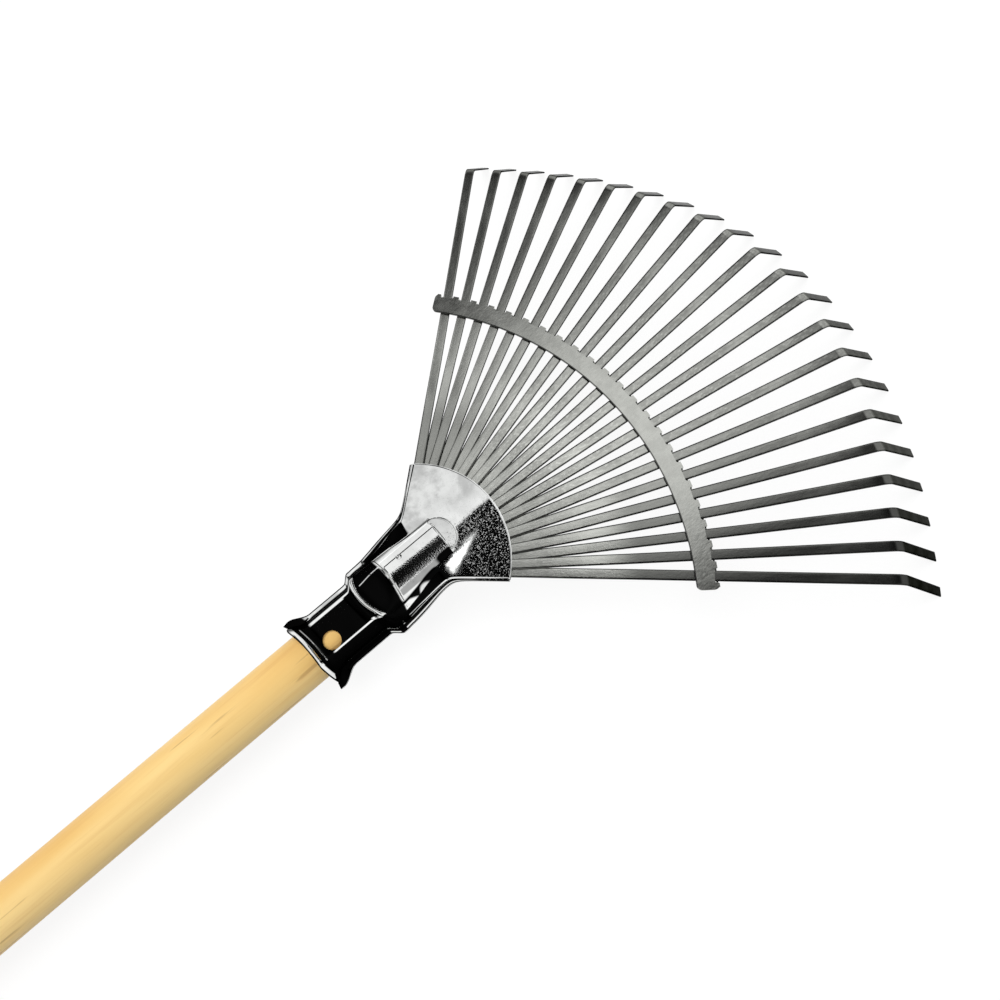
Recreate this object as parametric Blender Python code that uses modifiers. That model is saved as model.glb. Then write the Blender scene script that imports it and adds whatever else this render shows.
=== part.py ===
"""Leaf rake with 22 flat spring tines, a sliding spreader bar and a wooden handle.

Lengths are in metres, +Z is up and +X runs along the handle from its butt end to the tines.
The origin is the centre of the handle's flat butt face.
"""
import math

import bmesh
import bpy
from mathutils import Matrix, Vector

# Handle
HANDLE_DIAMETER = 0.028
HANDLE_LENGTH = 1.200
HANDLE_BUTT_CHAMFER = 0.003
HANDLE_TIP_TAPER = 0.008
HANDLE_TIP_DIAMETER = 0.022
HANDLE_SIDES = 32

# Sheet steel of the head
WALL = 0.0009
SEAM_GAP = 0.0003
FIT_GAP = 0.0003

# Head, measured along X from the point where the lines of the tines meet
HANDLE_TIP_X = -0.018
SOCKET_BACK_X = -0.0602
SOCKET_FLANGE = 0.0033
END_FLARE_LENGTH = 0.0054
END_FLARE_RISE = 0.0050
END_RIM_PLATEAU = 0.0020
END_RIM_LENGTH = 0.0107
END_RIM_RISE = 0.0052
END_BOW_RADIUS = 0.056
END_BOW_STOP_X = -0.036
SHOULDER_START_X = -0.0280
SHOULDER_LENGTH = 0.006
NECK_RADIUS = 0.0192
NECK_FLANGE = 0.0034
BEAD_X = -0.0242
BEAD_RISE = 0.0013
BEAD_HALF_LENGTH = 0.0015
BEAD_HALF_WIDTH = 0.0150
LIP_X = -0.0062
LIP_STEP = 0.0013
LIP_LENGTH = 0.0009
LIP_BOW_RADIUS = 0.036
WAIST_HALF_WIDTH = 0.0198
WAIST_FLANGE = 0.0020
WAIST_END_X = 0.013
WAIST_BLEND = 0.002
RIM_BLEND = 0.003
FLATTEN_START_X = 0.0018
FLATTEN_END_X = 0.021
BACK_RISE_START_X = -0.0142
BACK_RISE_END_X = 0.026
SEAM_RISE_LENGTH = 0.042
RIDGE_RADIUS = 0.015
RIDGE_TOP_Z = 0.0228
RIDGE_END_X = 0.0262
RIDGE_END_STEP = 0.0009
RIDGE_STEP_LENGTH = 0.0004
RIDGE_SLOPE_LENGTH = 0.0088
PLATE_FLANGE = 0.0008
MOUTH_RADIUS = 0.0512
MOUTH_CENTRE_X = 0.0074
POCKET_MARGIN = 0.00035
NAIL_HOLE_DIAMETER = 0.0096
NAIL_HOLE_X = -0.0485
NAIL_HOLE_TURN = math.radians(18)

# Tines
TINE_COUNT = 22
TINE_PITCH = math.radians(4.127)
OUTER_CLOSING = 0.026
TINE_WIDTH = 0.0052
TINE_THICKNESS = 0.0009
TINE_ROOT_RADIUS = 0.0402
TINE_PIVOT_RADIUS = 0.0420
FAN_HEIGHT = 0.0155
LAYER_GAP = 0.0004
LAYER_MERGE_START = 0.090
LAYER_MERGE_END = 0.120
BEND_RADIUS_MIDDLE = 0.2582
BEND_RADIUS_SIDE = 0.2422
TIP_REACH = 0.0316
TIP_DROP = 0.0355
TIP_BEND_RADIUS = 0.009

# Spreader bar
BAR_CENTRE_X = -0.0282
BAR_INNER_RADIUS = 0.1676
BAR_WIDTH = 0.0110
BAR_THICKNESS = 0.0010
BAR_FLANGE_DROP = 0.0040
BAR_END_MARGIN = 0.0068
BAR_END_ROUNDING = 0.0028
FLANGE_END_MARGIN = 0.0056
BAR_LIFT_GAP = 0.0004
SLOT_SIDE_GAP = 0.0010
SLOT_FLOOR_GAP = 0.0005
SLOT_NOTCH_DEPTH = 0.0018
SLOT_CORNER = 0.0009

# Worked out from the sizes above
HEAD_X = HANDLE_LENGTH - HANDLE_TIP_X
SOCKET_RADIUS = HANDLE_DIAMETER / 2 + FIT_GAP + WALL
NECK_BACK_X = SHOULDER_START_X + SHOULDER_LENGTH
MOUTH_X = MOUTH_CENTRE_X + MOUTH_RADIUS
FAN_HALF_ANGLE = (TINE_COUNT - 1) / 2 * TINE_PITCH * (1 - OUTER_CLOSING)
LAYER_OFFSET = (TINE_THICKNESS + LAYER_GAP) / 2
POCKET_HALF_HEIGHT = LAYER_OFFSET + TINE_THICKNESS / 2 + FIT_GAP
PLATEAU_RISE = POCKET_HALF_HEIGHT + WALL
SEAM_RISE = SEAM_GAP / 2 + WALL
SIDE_ROUNDING = (PLATEAU_RISE - SEAM_RISE) / math.cos(FAN_HALF_ANGLE)
BAR_OUTER_RADIUS = BAR_INNER_RADIUS + BAR_WIDTH
BAR_BOTTOM_Z = FAN_HEIGHT + TINE_THICKNESS / 2 + BAR_LIFT_GAP


def clear_scene():
    for obj in list(bpy.data.objects):
        bpy.data.objects.remove(obj)


def new_collection(name):
    collection = bpy.data.collections.new(name)
    bpy.context.scene.collection.children.link(collection)
    return collection


def make_material(name, colour, roughness, metallic):
    material = bpy.data.materials.new(name)
    material.use_nodes = True
    shader = material.node_tree.nodes["Principled BSDF"]
    shader.inputs["Base Color"].default_value = (*colour, 1.0)
    shader.inputs["Roughness"].default_value = roughness
    shader.inputs["Metallic"].default_value = metallic
    return material


def add_object(name, mesh, material, collection, location=(0, 0, 0)):
    obj = bpy.data.objects.new(name, mesh)
    obj.location = location
    mesh.materials.append(material)
    collection.objects.link(obj)
    return obj


def add_cutter(name, bm, location, cutters):
    cutter = bpy.data.objects.new(name, mesh_from(bm, name))
    cutter.location = location
    cutter.hide_render = True
    cutter.display_type = "WIRE"
    cutters.objects.link(cutter)
    return cutter


def mesh_from(bm, name):
    bmesh.ops.recalc_face_normals(bm, faces=bm.faces)
    mesh = bpy.data.meshes.new(name)
    bm.to_mesh(mesh)
    bm.free()
    return mesh


def shade_round(mesh, angle_degrees=35):
    mesh.shade_smooth()
    mesh.set_sharp_from_angle(angle=math.radians(angle_degrees))


def smooth_step(value, start, end):
    t = min(max((value - start) / (end - start), 0.0), 1.0)
    return t * t * (3 - 2 * t)


def mix(a, b, t):
    return a + (b - a) * t


def soft_max(a, b, softness):
    return (a + b + math.hypot(a - b, softness)) / 2


def tine_angle(index):
    """Angle of a tine from the rake's middle line; the outer ones stand slightly closer together."""
    place = index - (TINE_COUNT - 1) / 2
    share = place / ((TINE_COUNT - 1) / 2)
    return place * TINE_PITCH * (1 - OUTER_CLOSING * share ** 2)


# Handle: a turned rod with a chamfered butt and a tapered tip that goes into the socket

def make_handle(material, collection):
    radius = HANDLE_DIAMETER / 2
    tip_radius = HANDLE_TIP_DIAMETER / 2
    profile = [
        (0.0, 0.0),
        (0.0, radius - HANDLE_BUTT_CHAMFER),
        (HANDLE_BUTT_CHAMFER, radius),
        (HANDLE_LENGTH - HANDLE_TIP_TAPER, radius),
        (HANDLE_LENGTH, tip_radius),
        (HANDLE_LENGTH, 0.0),
    ]
    mesh = bpy.data.meshes.new("handle")
    points = [(x, r, 0.0) for x, r in profile]
    edges = [(i, i + 1) for i in range(len(points) - 1)]
    mesh.from_pydata(points, edges, [])
    obj = add_object("handle", mesh, material, collection)
    screw = obj.modifiers.new("turn", "SCREW")
    screw.axis = "X"
    screw.steps = HANDLE_SIDES
    screw.render_steps = HANDLE_SIDES
    screw.use_merge_vertices = True
    screw.merge_threshold = 0.00001
    screw.use_normal_calculate = True
    return obj


# Head: the outline and heights of the two pressed shells, as functions of the station x


def seam_height(x):
    """Height of the joint between the shells: the handle's axis, rising to the tines' plane."""
    return FAN_HEIGHT * smooth_step(x, NECK_BACK_X, NECK_BACK_X + SEAM_RISE_LENGTH)


def end_flare(x):
    return 1 - smooth_step(x, SOCKET_BACK_X, SOCKET_BACK_X + END_FLARE_LENGTH)


def tube_radius(x):
    """Radius of the socket and neck, without the bead."""
    grow = smooth_step(x, SHOULDER_START_X, NECK_BACK_X)
    return mix(SOCKET_RADIUS, NECK_RADIUS, grow) + END_FLARE_RISE * end_flare(x)


def tube_flange_width(x):
    """Width of the flanges beside the tube; at the socket's end they fan out over a longer way."""
    grow = smooth_step(x, SHOULDER_START_X, NECK_BACK_X)
    rim = 1 - smooth_step(x, SOCKET_BACK_X + END_RIM_PLATEAU, SOCKET_BACK_X + END_RIM_LENGTH)
    widening = END_RIM_RISE * rim - END_FLARE_RISE * end_flare(x)
    return mix(SOCKET_FLANGE, NECK_FLANGE, grow) + widening


def pocket_edge(x):
    """Half width of the shells over the outermost tines: the tine's edge, a margin and the wall."""
    side = (TINE_WIDTH / 2 + POCKET_MARGIN + WALL) / math.cos(FAN_HALF_ANGLE)
    return x * math.tan(FAN_HALF_ANGLE) + side


def plate_half_width(x):
    """Half width of the raised body from the lip on, inside the flanges."""
    waist = mix(NECK_RADIUS, WAIST_HALF_WIDTH, smooth_step(x, LIP_X, WAIST_END_X))
    return soft_max(waist, pocket_edge(x), WAIST_BLEND)


def plate_rim(x):
    """Half width from the lip on, with the flanges."""
    waist = mix(NECK_RADIUS + NECK_FLANGE, WAIST_HALF_WIDTH + WAIST_FLANGE,
                smooth_step(x, LIP_X, WAIST_END_X))
    side = pocket_edge(x) + PLATE_FLANGE / math.cos(FAN_HALF_ANGLE)
    return soft_max(waist, side, RIM_BLEND)


def plate_share(x):
    """0 where the shell is a round tube, 1 where it is a flat plate with rounded sides."""
    return smooth_step(x, FLATTEN_START_X, FLATTEN_END_X)


def bead(x, y):
    """Raised rib over the front of the shoulder, a half round that fades out at its ends."""
    offset = abs(x - BEAD_X) / BEAD_HALF_LENGTH
    fade = 1 - smooth_step(y, BEAD_HALF_WIDTH * 0.7, BEAD_HALF_WIDTH)
    return BEAD_RISE * fade * math.sqrt(max(1 - offset * offset, 0.0))


def back_bottom(x):
    """Height of the back shell's centre line."""
    plate = FAN_HEIGHT - PLATEAU_RISE
    return mix(-tube_radius(x), plate, smooth_step(x, BACK_RISE_START_X, BACK_RISE_END_X))


def ridge_height(x, y):
    """Height of the ridge's round top, which ends in a slope down to the plate."""
    round_top = RIDGE_TOP_Z - RIDGE_RADIUS + math.sqrt(max(RIDGE_RADIUS ** 2 - y * y, 0.0))
    if x <= RIDGE_END_X:
        return round_top
    start = RIDGE_TOP_Z - RIDGE_END_STEP
    fall = (x - RIDGE_END_X) / RIDGE_SLOPE_LENGTH
    return min(round_top, mix(start, FAN_HEIGHT + PLATEAU_RISE, fall))


def station_bow(x, y):
    """How far behind its middle a station's line lies at the distance y from the centre line."""
    end = (1 - smooth_step(x, SOCKET_BACK_X, END_BOW_STOP_X)) / END_BOW_RADIUS
    lip = smooth_step(x, NECK_BACK_X, LIP_X) / LIP_BOW_RADIUS
    lip *= 1 - smooth_step(x, LIP_X + LIP_LENGTH, WAIST_END_X)
    mouth = MOUTH_RADIUS - math.sqrt(max(MOUTH_RADIUS ** 2 - y * y, 0.0))
    return (end + lip) * y * y / 2 + mouth * smooth_step(x, WAIST_END_X, MOUTH_X)


def where_station_meets(outline, x):
    """Distance from the centre line at which the bent line of station x crosses an outline."""
    near = 0.0
    far = MOUTH_RADIUS
    for _ in range(40):
        middle = (near + far) / 2
        if middle < outline(x - station_bow(x, middle)):
            near = middle
        else:
            far = middle
    return near


def body_rise(y, half_width, top, share):
    """Rise of the body over the seam: an arch, a flat plate with round sides, or between them."""
    arch = top * math.sqrt(max(1 - (y / half_width) ** 2, 0.0))
    inside = min((half_width - y) / SIDE_ROUNDING, 1.0)
    plate = mix(SEAM_RISE, top, math.sqrt(max(1 - (1 - inside) ** 2, 0.0)))
    return max(mix(arch, plate, share), SEAM_RISE)


# A half section's points from its foot to its crest: the angle on an arch, and the place on a
# plate as a share of the rounded side, of the flat beside the ridge, or of the ridge
SECTION_POINTS = (
    (0, "side", 0.0), (7, "side", 0.134), (14, "side", 0.5), (21, "side", 1.0),
    (27, "flat", 0.28), (33, "flat", 0.54), (39, "flat", 0.78), (45, "ridge", 1.0),
    (52, "ridge", 0.91), (59, "ridge", 0.79), (67, "ridge", 0.62), (75, "ridge", 0.42),
    (82, "ridge", 0.21), (90, "ridge", 0.0),
)


def section_distances(half_width, share, crease):
    """Distances of a half section's points from the centre line."""
    side_top = half_width - SIDE_ROUNDING
    foot = min(crease, side_top)
    distances = []
    for angle, kind, value in SECTION_POINTS:
        if kind == "side":
            plate_y = half_width - SIDE_ROUNDING * value
        elif kind == "flat":
            plate_y = mix(side_top, foot, value)
        else:
            plate_y = foot * value
        distances.append(mix(half_width * math.cos(math.radians(angle)), plate_y, share))
    return distances


def ridge_crease(x, half_width, top, share):
    """Distance from the centre line at which the ridge's side meets the body."""
    near = 0.0
    far = RIDGE_RADIUS
    for _ in range(40):
        middle = (near + far) / 2
        seam = seam_height(x - station_bow(x, middle))
        if ridge_height(x, middle) > seam + body_rise(middle, half_width, top - seam, share):
            near = middle
        else:
            far = middle
    return near


def front_rise(x, y, half_width, crease):
    """Rise over the seam of the front shell's outside.

    The neck changes from the socket's round tube to the shape that starts at the lip, and the
    lip is the step between them.
    """
    seam = seam_height(x - station_bow(x, y))
    tube = body_rise(y, half_width, tube_radius(x) + bead(x, y), 0)
    if x <= NECK_BACK_X:
        return tube
    rise = body_rise(y, half_width, FAN_HEIGHT + PLATEAU_RISE - seam, plate_share(x))
    if y < crease * 0.999:
        rise = max(rise, ridge_height(x, y) - seam)
    step = LIP_STEP * (1 - smooth_step(x, LIP_X, LIP_X + LIP_LENGTH))
    step *= 1 - smooth_step(y, RIDGE_RADIUS * 0.8, RIDGE_RADIUS)
    return mix(tube, rise + step, smooth_step(x, NECK_BACK_X, LIP_X))


def shell_section(x, front):
    """Half section at station x, as (distance from the centre line, height) pairs."""
    after_lip = x > LIP_X + LIP_LENGTH / 2
    share = plate_share(x)
    if after_lip:
        half_width = where_station_meets(plate_half_width, x)
        rim = where_station_meets(plate_rim, x)
    else:
        half_width = tube_radius(x)
        rim = half_width + tube_flange_width(x)
    crease = ridge_crease(min(x, RIDGE_END_X), half_width, FAN_HEIGHT + PLATEAU_RISE, share)
    layout = smooth_step(x, NECK_BACK_X, LIP_X)
    points = [(rim, SEAM_RISE)]
    for y in section_distances(half_width, layout, crease):
        seam = seam_height(x - station_bow(x, y))
        if front:
            rise = front_rise(x, y, half_width, crease)
        else:
            rise = body_rise(y, half_width, seam - back_bottom(x), share)
        points.append((y, rise))
    sign = 1 if front else -1
    return [(y, seam_height(x - station_bow(x, y)) + sign * rise) for y, rise in points]


def shell_stations():
    flare_end = SOCKET_BACK_X + END_FLARE_LENGTH
    rim_end = SOCKET_BACK_X + END_RIM_LENGTH
    slope_end = RIDGE_END_X + RIDGE_SLOPE_LENGTH
    stations = [mix(SOCKET_BACK_X, flare_end, t) for t in (0, 0.25, 0.5, 0.75, 1)]
    stations += [mix(flare_end, rim_end, t) for t in (0.3, 0.6, 1)]
    stations += [mix(rim_end, SHOULDER_START_X, t) for t in (0.4, 0.75, 1)]
    stations += [BEAD_X + BEAD_HALF_LENGTH * t for t in (-1, -0.7, 0, 0.7, 1)]
    stations += [NECK_BACK_X, mix(NECK_BACK_X, LIP_X, 0.33), mix(NECK_BACK_X, LIP_X, 0.7)]
    stations += [LIP_X, LIP_X + LIP_LENGTH]
    stations += [mix(LIP_X + LIP_LENGTH, RIDGE_END_X, t / 8) for t in range(1, 9)]
    stations += [RIDGE_END_X + RIDGE_STEP_LENGTH, mix(RIDGE_END_X, slope_end, 0.5), slope_end]
    stations += [mix(slope_end, MOUTH_X, t / 4) for t in range(1, 5)]
    return stations


def make_shell(name, front, material, collection):
    """A loft through the stations' sections, thickened inwards to the sheet's wall."""
    bm = bmesh.new()
    rows = []
    for x in shell_stations():
        half = shell_section(x, front)
        full = [(y, z) for y, z in half] + [(-y, z) for y, z in reversed(half[:-1])]
        rows.append([bm.verts.new((x - station_bow(x, y), y, z)) for y, z in full])
    for near, far in zip(rows, rows[1:]):
        for i in range(len(near) - 1):
            bm.faces.new((near[i], near[i + 1], far[i + 1], far[i]))
    mesh = bpy.data.meshes.new(name)
    if not front:
        bmesh.ops.reverse_faces(bm, faces=bm.faces)
    bm.normal_update()
    bm.to_mesh(mesh)
    bm.free()
    shade_round(mesh)
    obj = add_object(name, mesh, material, collection, (HEAD_X, 0, 0))
    solid = obj.modifiers.new("sheet", "SOLIDIFY")
    solid.thickness = WALL
    solid.offset = -1
    solid.solidify_mode = "NON_MANIFOLD"
    solid.nonmanifold_thickness_mode = "CONSTRAINTS"
    solid.nonmanifold_merge_threshold = 0.00001
    return obj


def cut_nail_hole(shell, cutters):
    """A round hole in the socket, square to the tube's surface."""
    length = 4 * WALL
    bm = bmesh.new()
    turn = Matrix.Rotation(NAIL_HOLE_TURN, 4, "X")
    lift = Matrix.Translation((0, 0, SOCKET_RADIUS))
    place = Matrix.Translation((NAIL_HOLE_X, 0, 0)) @ turn @ lift
    bmesh.ops.create_cone(bm, cap_ends=True, segments=24, radius1=NAIL_HOLE_DIAMETER / 2,
                          radius2=NAIL_HOLE_DIAMETER / 2, depth=length, matrix=place)
    cut = shell.modifiers.new("nail_hole", "BOOLEAN")
    cut.operation = "DIFFERENCE"
    cut.object = add_cutter("nail_hole_cutter", bm, (HEAD_X, 0, 0), cutters)


# Tines: flat strips whose ends are bent down

def bend_radius_at(angle):
    """Distance from the tines' meeting point to the bend: the side tines are shorter."""
    side = smooth_step(abs(angle), 0, FAN_HALF_ANGLE)
    return mix(BEND_RADIUS_MIDDLE, BEND_RADIUS_SIDE, side)


def tine_centre_line(bend_radius, layer):
    """Side view of a tine's middle: (distance along, height over the tines' plane) pairs."""
    points = [(TINE_ROOT_RADIUS, layer), (LAYER_MERGE_START, layer)]
    for i in range(1, 5):
        r = mix(LAYER_MERGE_START, LAYER_MERGE_END, i / 4)
        points.append((r, layer * (1 - smooth_step(r, LAYER_MERGE_START, LAYER_MERGE_END))))
    fall = math.atan2(TIP_DROP, TIP_REACH)
    tangent = TIP_BEND_RADIUS * math.tan(fall / 2)
    start = bend_radius - tangent
    for i in range(6):
        turned = fall * i / 5
        points.append((start + TIP_BEND_RADIUS * math.sin(turned),
                       -TIP_BEND_RADIUS * (1 - math.cos(turned))))
    points.append((bend_radius + TIP_REACH, -TIP_DROP))
    return points


def strip_outline(points, thickness):
    """Closed outline of a strip of even thickness round its centre line."""
    upper = []
    lower = []
    for i, point in enumerate(points):
        before = Vector(points[max(i - 1, 0)])
        after = Vector(points[min(i + 1, len(points) - 1)])
        along = (after - before).normalized()
        side = Vector((-along.y, along.x)) * thickness / 2
        upper.append(Vector(point) + side)
        lower.append(Vector(point) - side)
    return upper + lower[::-1]


def make_tine(index, material, collection):
    angle = tine_angle(index)
    layer = LAYER_OFFSET if index % 2 else -LAYER_OFFSET
    line = tine_centre_line(bend_radius_at(angle), layer)
    outline = strip_outline(line, TINE_THICKNESS)
    bm = bmesh.new()
    verts = [bm.verts.new((p.x - TINE_PIVOT_RADIUS, -TINE_WIDTH / 2, p.y)) for p in outline]
    face = bm.faces.new(verts)
    grown = bmesh.ops.extrude_face_region(bm, geom=[face])
    moved = [v for v in grown["geom"] if isinstance(v, bmesh.types.BMVert)]
    bmesh.ops.translate(bm, verts=moved, vec=(0, TINE_WIDTH, 0))
    name = f"tine_{index + 1:02d}"
    mesh = mesh_from(bm, name)
    shade_round(mesh)
    pivot = (HEAD_X + TINE_PIVOT_RADIUS * math.cos(angle),
             TINE_PIVOT_RADIUS * math.sin(angle), FAN_HEIGHT)
    tine = add_object(name, mesh, material, collection, pivot)
    tine.rotation_euler.z = angle
    return tine


# Spreader bar: a curved angle strip on the tines, with a slot for each of them

def bar_radius_at(angle, radius):
    """Distance from the tines' meeting point to a circle of the bar, along a tine."""
    along = BAR_CENTRE_X * math.cos(angle)
    across = BAR_CENTRE_X * math.sin(angle)
    return along + math.sqrt(radius ** 2 - across ** 2)


def bar_half_angle(margin):
    """Angle about the bar's own centre from the middle to a margin past the outermost tine."""
    reach = bar_radius_at(FAN_HALF_ANGLE, BAR_OUTER_RADIUS)
    x = reach * math.cos(FAN_HALF_ANGLE) - BAR_CENTRE_X
    y = reach * math.sin(FAN_HALF_ANGLE)
    return math.atan2(y, x) + margin / BAR_OUTER_RADIUS


def curved_band(inner, outer, low, high, half_angle):
    """A band of the bar's circle, from the inner to the outer radius."""
    bm = bmesh.new()
    start = Matrix.Rotation(-half_angle, 4, "Z")
    profile = [(inner, low), (outer, low), (outer, high), (inner, high)]
    face = bm.faces.new([bm.verts.new(start @ Vector((r, 0, z))) for r, z in profile])
    bmesh.ops.spin(bm, geom=[face], cent=(0, 0, 0), axis=(0, 0, 1), angle=2 * half_angle,
                   steps=2 * TINE_COUNT)
    bmesh.ops.remove_doubles(bm, verts=bm.verts, dist=0.00001)
    return bm


def make_bar(material, collection, cutters):
    top = BAR_BOTTOM_Z + BAR_THICKNESS
    place = (HEAD_X + BAR_CENTRE_X, 0, 0)
    half = bar_half_angle(BAR_END_MARGIN)
    bm = curved_band(BAR_INNER_RADIUS, BAR_OUTER_RADIUS, BAR_BOTTOM_Z, top, half)
    corners = []
    for edge in bm.edges:
        a, b = edge.verts
        upright = abs(a.co.z - b.co.z) > BAR_THICKNESS / 2
        if upright and abs(math.atan2(a.co.y, a.co.x)) > half - 0.001:
            corners.append(edge)
    bmesh.ops.bevel(bm, geom=corners, offset=BAR_END_ROUNDING, segments=4, profile=0.5,
                    affect="EDGES")
    mesh = mesh_from(bm, "spreader_bar")
    shade_round(mesh)
    bar = add_object("spreader_bar", mesh, material, collection, place)
    folded = curved_band(BAR_OUTER_RADIUS - BAR_THICKNESS, BAR_OUTER_RADIUS,
                         BAR_BOTTOM_Z - BAR_FLANGE_DROP, top, bar_half_angle(FLANGE_END_MARGIN))
    join = bar.modifiers.new("folded_edge", "BOOLEAN")
    join.operation = "UNION"
    join.object = add_cutter("folded_edge_joiner", folded, place, cutters)
    cut = bar.modifiers.new("slots", "BOOLEAN")
    cut.operation = "DIFFERENCE"
    cut.object = make_slot_cutter(cutters)
    return bar


def make_slot_cutter(cutters):
    """One block for each tine, through the bar's folded edge."""
    floor = FAN_HEIGHT - TINE_THICKNESS / 2 - SLOT_FLOOR_GAP
    ceiling = BAR_BOTTOM_Z + 2 * BAR_THICKNESS
    width = TINE_WIDTH + 2 * SLOT_SIDE_GAP
    bm = bmesh.new()
    for index in range(TINE_COUNT):
        angle = tine_angle(index)
        outer = bar_radius_at(angle, BAR_OUTER_RADIUS)
        inner = outer - SLOT_NOTCH_DEPTH
        outer += 2 * BAR_THICKNESS
        size = Matrix.Diagonal((outer - inner, width, ceiling - floor, 1))
        middle = Matrix.Translation(((inner + outer) / 2, 0, (floor + ceiling) / 2))
        made = bmesh.ops.create_cube(bm, size=1.0, matrix=size)
        corners = [e for e in {e for v in made["verts"] for e in v.link_edges}
                   if abs(e.verts[0].co.z - e.verts[1].co.z) > ceiling - floor - 0.0001
                   and e.verts[0].co.x < 0]
        rounded = bmesh.ops.bevel(bm, geom=corners, offset=SLOT_CORNER, segments=2,
                                  profile=0.5, affect="EDGES")
        block = list({v for v in made["verts"] if v.is_valid} | {v for v in rounded["verts"]})
        turn = Matrix.Rotation(angle, 4, "Z")
        bmesh.ops.transform(bm, matrix=turn @ middle, verts=block)
    return add_cutter("slot_cutter", bm, (HEAD_X, 0, 0), cutters)


def main():
    clear_scene()
    rake = new_collection("leaf_rake")
    cutters = new_collection("cutters")
    wood = make_material("handle_wood", (0.80, 0.56, 0.26), 0.45, 0.0)
    chrome = make_material("shell_chrome", (0.62, 0.63, 0.62), 0.08, 1.0)
    back_chrome = make_material("back_shell_chrome", (0.55, 0.56, 0.55), 0.12, 1.0)
    bar_steel = make_material("bar_steel", (0.42, 0.43, 0.42), 0.35, 1.0)
    make_handle(wood, rake)
    front = make_shell("front_shell", True, chrome, rake)
    cut_nail_hole(front, cutters)
    make_shell("back_shell", False, back_chrome, rake)
    make_bar(bar_steel, rake, cutters)
    for index in range(TINE_COUNT):
        shade = 0.36 + 0.10 * math.cos(2 * math.pi * (index / (TINE_COUNT - 1) - 0.5))
        steel = make_material(f"tine_steel_{index + 1:02d}", (shade, shade, shade * 0.98), 0.4, 1.0)
        make_tine(index, steel, rake)


main()
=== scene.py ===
"""Looks of the leaf rake: finer surfaces over its frame, their materials, floor, light and camera.

Lengths are in metres in the row frame. Sizes of the head are measured from the point where the
lines of the tines meet, which lies at HEAD_X on the handle's axis.
"""
import math

import bmesh
import bpy
from mathutils import Matrix, Vector


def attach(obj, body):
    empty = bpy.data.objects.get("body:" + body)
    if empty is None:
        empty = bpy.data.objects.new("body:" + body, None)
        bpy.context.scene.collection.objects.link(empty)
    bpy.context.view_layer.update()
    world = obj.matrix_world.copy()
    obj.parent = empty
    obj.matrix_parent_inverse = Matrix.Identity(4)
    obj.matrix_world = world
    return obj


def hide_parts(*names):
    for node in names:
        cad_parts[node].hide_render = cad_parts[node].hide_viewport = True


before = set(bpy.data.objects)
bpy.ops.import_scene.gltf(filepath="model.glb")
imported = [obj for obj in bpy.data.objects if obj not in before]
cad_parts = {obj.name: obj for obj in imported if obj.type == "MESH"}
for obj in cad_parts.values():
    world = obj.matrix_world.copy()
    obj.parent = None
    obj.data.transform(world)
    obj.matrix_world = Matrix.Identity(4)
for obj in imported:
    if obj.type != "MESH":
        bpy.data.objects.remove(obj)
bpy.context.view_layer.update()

# Handle
HANDLE_RADIUS = 0.014
HANDLE_LENGTH = 1.200
HANDLE_TIP_RADIUS = 0.011
HANDLE_TIP_TAPER = 0.008
HANDLE_EDGE_RADIUS = 0.003
HANDLE_EDGE_STEPS = 8
HANDLE_SIDES = 96

# Head
HEAD_X = 1.218
WALL = 0.0009
SEAM_RISE = 0.00105
SOCKET_BACK_X = -0.0602
SOCKET_RADIUS = 0.0152
SOCKET_FLANGE = 0.0033
END_FLARE_LENGTH = 0.0054
END_FLARE_RISE = 0.0050
END_RIM_PLATEAU = 0.0020
END_RIM_LENGTH = 0.0107
END_RIM_RISE = 0.0052
LEFT_FIN_CUT = 0.06
END_SKEW = 0.11
END_BOW_RADIUS = 0.056
HEM_RADIUS = 0.0013
HEM_FLATNESS = 0.75
SHOULDER_START_X = -0.0280
END_BOW_X = (SOCKET_BACK_X, SHOULDER_START_X - 0.008)
NECK_BACK_X = -0.0220
NECK_RADIUS = 0.0192
NECK_FLANGE = 0.0034
BEAD_X = -0.0250
BEAD_LAST_X = NECK_BACK_X + 0.004
BEAD_BOW_RADIUS = 0.023
BEAD_RISE = 0.0018
BEAD_HALF_LENGTH = 0.0014
BEAD_HALF_WIDTH = 0.0168
LIP_X = -0.0062
LIP_STEP = 0.0013
LIP_LENGTH = 0.0007
LIP_BOW_RADIUS = 0.036
LIP_SIDE_START = 0.8
WAIST_HALF_WIDTH = 0.0198
WAIST_FLANGE = 0.0020
WAIST_END_X = 0.013
WAIST_SOFTNESS = 0.002
WAIST_RIM_SOFTNESS = 0.003
FLAT_FRONT_X = (LIP_X + 0.008, WAIST_END_X + 0.0035)
FLAT_BACK_X = (LIP_X - 0.008, WAIST_END_X + 0.013)
SEAM_RISE_LENGTH = 0.042
RIDGE_RADIUS = 0.015
RIDGE_TOP_Z = 0.0228
RIDGE_END_X = 0.0262
RIDGE_FALL_LENGTH = 0.0030
RIDGE_END_DEPTH = 0.001
PAD_HALF_WIDTH = 0.0097
PAD_LENGTH = 0.0086
PAD_START_Z = 0.0211
PAD_END_Z = 0.0188
PAD_EDGE = 0.0007
PAD_EDGE_RANGE = (-0.5, 1.0)
PAD_SIDE_STEEPNESS = 1.6
PAD_DEPTH = 0.0006
PAD_OVERLAP = 0.0003
DIMPLES = ((0.0036, 0.0039), (-0.0175, -0.0175))
DIMPLE_RADIUS = 0.0013
DIMPLE_DEPTH = 0.0005
FLANGE_ROUNDING = 0.16
FLANGE_CURVE = 1.2
FACET = ((0.0176, -0.0143), (0.0244, -0.0198), (0.0430, -0.0108))
PLATE_FLANGE = 0.0008
MOUTH_RADIUS = 0.0512
MOUTH_CENTRE_X = 0.0074
MOUTH_X = MOUTH_CENTRE_X + MOUTH_RADIUS
POCKET_MARGIN = 0.00035
PLATEAU_RISE = 0.0023
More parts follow.
